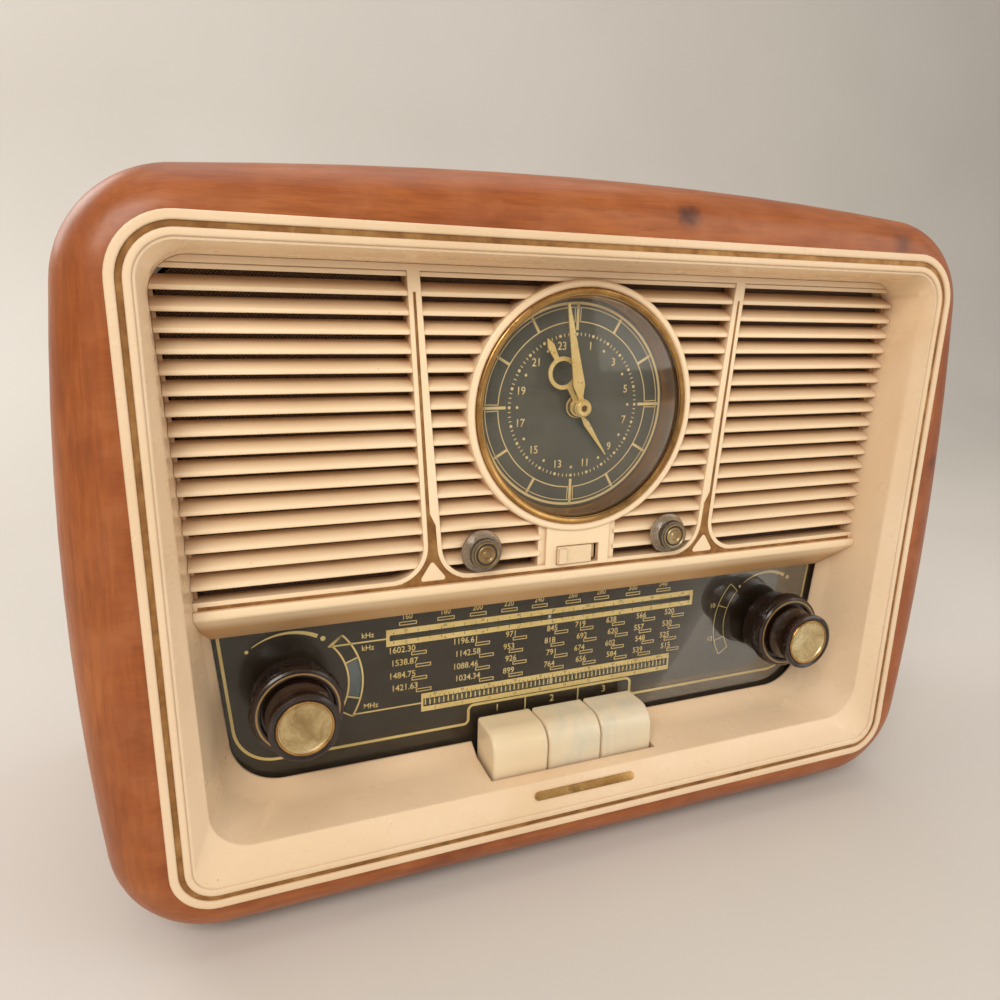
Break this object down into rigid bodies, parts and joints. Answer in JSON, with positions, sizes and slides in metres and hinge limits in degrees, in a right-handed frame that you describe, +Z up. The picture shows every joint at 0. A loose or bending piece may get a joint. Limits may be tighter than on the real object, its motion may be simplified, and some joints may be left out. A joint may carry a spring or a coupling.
{
  "type": "table radio",
  "caption": "Table-top valve clock radio: rounded wooden case, cream louvred front, clock, glass tuning dial, dual concentric knobs and piano keys.",
  "frame": {"origin": "on the supporting surface, under the centre of the whole set's bounding box", "axes": "+X to the listener's right along the longest side, +Y from the front to the back, +Z up"},
  "size_m": [0.368, 0.21, 0.2701],
  "materials": {
    "bakelite": "dark brown bakelite, polished",
    "board": "hardboard or thin plywood, raw",
    "cabinet_wood": "satin lacquer over reddish-brown veneer",
    "can_aluminium": "drawn aluminium",
    "cap_brass": "worn and mottled brass disc",
    "chapter_brown": "brown-gold paint",
    "clear_plastic": "clear moulded plastic, slightly yellowed",
    "clock_brass": "polished brass ring",
    "clock_face": "matt dark olive-grey paint",
    "clock_glass": "clear domed lens",
    "cloth": "dark brown woven loudspeaker cloth",
    "coil_copper": "enamelled copper winding",
    "cream_plastic": "semi-gloss moulded cream plastic, yellowed with age",
    "dial_glass": "flat clear glass",
    "dial_print": "near-black printing behind the glass",
    "ferrite": "dark grey ferrite",
    "gold_line": "dull aged gold paint or brass foil",
    "hand_gold": "bright gold",
    "key_plastic": "slightly marbled cream plastic, polished",
    "laminations": "black-varnished laminations",
    "lamp_glass": "clear bulbs",
    "lead_rubber": "dark brown rubber",
    "magnet_grey": "dark grey",
    "movement_case": "dark moulded case",
    "paper_cone": "grey-black pressed paper",
    "rear_card": "pressed brown fibre board",
    "reflector_white": "white paint",
    "rubber_foot": "black rubber",
    "steel": "bright zinc-plated steel",
    "suspension_brown": "treated cloth, amber-brown",
    "switch_cream": "cream plastic",
    "tin_plate": "grey passivated steel sheet",
    "valve_glass": "glass envelopes"
  },
  "bodies": {
    "root": {"cabinet_shell": "cabinet_wood", "cabinet_feet": "rubber_foot", "back_cover": "rear_card", "back_cover_screws": "steel", "front_mask": "cream_plastic", "bezel_gold_inlay": "gold_line", "louvre_grille": "cream_plastic", "grille_gold_inlay": "gold_line", "apron_bar": "gold_line", "speaker_cloth": "cloth", "baffle_board": "board", "baffle_screws": "steel", "speaker_basket": "tin_plate", "speaker_magnet": "magnet_grey", "speaker_suspension": "suspension_brown", "clock_movement": "movement_case", "clock_dial": "clock_face", "clock_bezel_ring": "clock_brass", "clock_chapter_ring": "chapter_brown", "clock_lens": "clock_glass", "dial_glass": "dial_glass", "dial_print_plate": "dial_print", "dial_reflector": "reflector_white", "dial_lamps": "lamp_glass", "pointer_rails": "steel", "potentiometer": "tin_plate", "control_bracket": "tin_plate", "key_bracket": "steel", "key_spring_left": "steel", "key_spring_middle": "steel", "key_spring_right": "steel", "gang_frame": "steel", "chassis_tray": "tin_plate", "valve_envelopes": "valve_glass", "shielding_cans": "can_aluminium", "transformers": "laminations", "ferrite_aerial": "ferrite", "mains_cable": "lead_rubber"},
    "cone": {"speaker_cone": "paper_cone", "speaker_voice_coil": "coil_copper"},
    "minute": {"minute_hand": "hand_gold"},
    "hour": {"hour_hand": "hand_gold"},
    "alarm": {"alarm_hand": "hand_gold"},
    "time_setter": {"time_set_knob": "clear_plastic", "time_set_cap": "cap_brass"},
    "alarm_setter": {"alarm_set_knob": "clear_plastic", "alarm_set_cap": "cap_brass"},
    "alarm_switch": {"slide_switch_button": "switch_cream"},
    "volume": {"volume_knob": "bakelite", "volume_cap": "cap_brass"},
    "tone": {"tone_ring": "bakelite"},
    "tuning": {"tuning_knob": "bakelite", "tuning_cap": "cap_brass"},
    "fm": {"fm_ring": "bakelite"},
    "gang": {"gang_rotor": "steel"},
    "am_carriage": {"am_pointer": "steel"},
    "fm_carriage": {"fm_pointer": "steel"},
    "key_a": {"key_left": "key_plastic"},
    "key_b": {"key_middle": "key_plastic"},
    "key_c": {"key_right": "key_plastic"}
  },
  "joints": [
    {"name": "cone_travel", "type": "slide", "parent": "root", "child": "cone", "axis": [0, 1, 0], "range_m": [-0.0008, 0.0008]},
    {"name": "time_set_turn", "type": "hinge", "parent": "root", "child": "time_setter", "pos_m": [0.0419, -0.085, 0.134], "axis": [0, 1, 0], "continuous": true},
    {"name": "minute_turn", "type": "hinge", "parent": "root", "child": "minute", "pos_m": [0, -0.085, 0.187], "axis": [0, 1, 0], "continuous": true},
    {"name": "hour_turn", "type": "hinge", "parent": "root", "child": "hour", "pos_m": [0, -0.085, 0.187], "axis": [0, 1, 0], "continuous": true},
    {"name": "alarm_set_turn", "type": "hinge", "parent": "root", "child": "alarm_setter", "pos_m": [-0.0419, -0.085, 0.134], "axis": [0, 1, 0], "continuous": true},
    {"name": "alarm_turn", "type": "hinge", "parent": "root", "child": "alarm", "pos_m": [0, -0.085, 0.187], "axis": [0, 1, 0], "continuous": true},
    {"name": "switch_travel", "type": "slide", "parent": "root", "child": "alarm_switch", "axis": [1, 0, 0], "range_m": [0, 0.003]},
    {"name": "volume_turn", "type": "hinge", "parent": "root", "child": "volume", "pos_m": [-0.1125, -0.085, 0.0805], "axis": [0, 1, 0], "range_deg": [0, 270]},
    {"name": "tone_turn", "type": "hinge", "parent": "root", "child": "tone", "pos_m": [-0.1125, -0.085, 0.0805], "axis": [0, 1, 0], "range_deg": [0, 270]},
    {"name": "tuning_turn", "type": "hinge", "parent": "root", "child": "tuning", "pos_m": [0.1125, -0.085, 0.0805], "axis": [0, 1, 0], "range_deg": [-1140, 1140]},
    {"name": "gang_turn", "type": "hinge", "parent": "root", "child": "gang", "pos_m": [0.03, -0.03, 0.097], "axis": [0, 1, 0], "range_deg": [-90, 90]},
    {"name": "am_pointer_travel", "type": "slide", "parent": "root", "child": "am_carriage", "axis": [1, 0, 0], "range_m": [-0.0598, 0.0598]},
    {"name": "fm_turn", "type": "hinge", "parent": "root", "child": "fm", "pos_m": [0.1125, -0.085, 0.0805], "axis": [0, 1, 0], "range_deg": [-270, 270]},
    {"name": "fm_pointer_travel", "type": "slide", "parent": "root", "child": "fm_carriage", "axis": [1, 0, 0], "range_m": [-0.0545, 0.0545]},
    {"name": "key_left_press", "type": "hinge", "parent": "root", "child": "key_a", "pos_m": [0, -0.045, 0.034], "axis": [1, 0, 0], "range_deg": [0, 5], "deforming": ["key_spring_left"]},
    {"name": "key_middle_press", "type": "hinge", "parent": "root", "child": "key_b", "pos_m": [0, -0.045, 0.034], "axis": [1, 0, 0], "range_deg": [0, 5], "deforming": ["key_spring_middle"]},
    {"name": "key_right_press", "type": "hinge", "parent": "root", "child": "key_c", "pos_m": [0, -0.045, 0.034], "axis": [1, 0, 0], "range_deg": [0, 5], "deforming": ["key_spring_right"]}
  ],
  "couplings": [
    {"joint": "minute_turn", "follows": "time_set_turn", "ratio": 1},
    {"joint": "hour_turn", "follows": "time_set_turn", "ratio": 0.083333},
    {"joint": "alarm_turn", "follows": "alarm_set_turn", "ratio": 1},
    {"joint": "gang_turn", "follows": "tuning_turn", "ratio": 0.0789},
    {"joint": "am_pointer_travel", "follows": "tuning_turn", "m_per_rad": 0.003},
    {"joint": "fm_pointer_travel", "follows": "fm_turn", "m_per_rad": 0.0115}
  ]
}
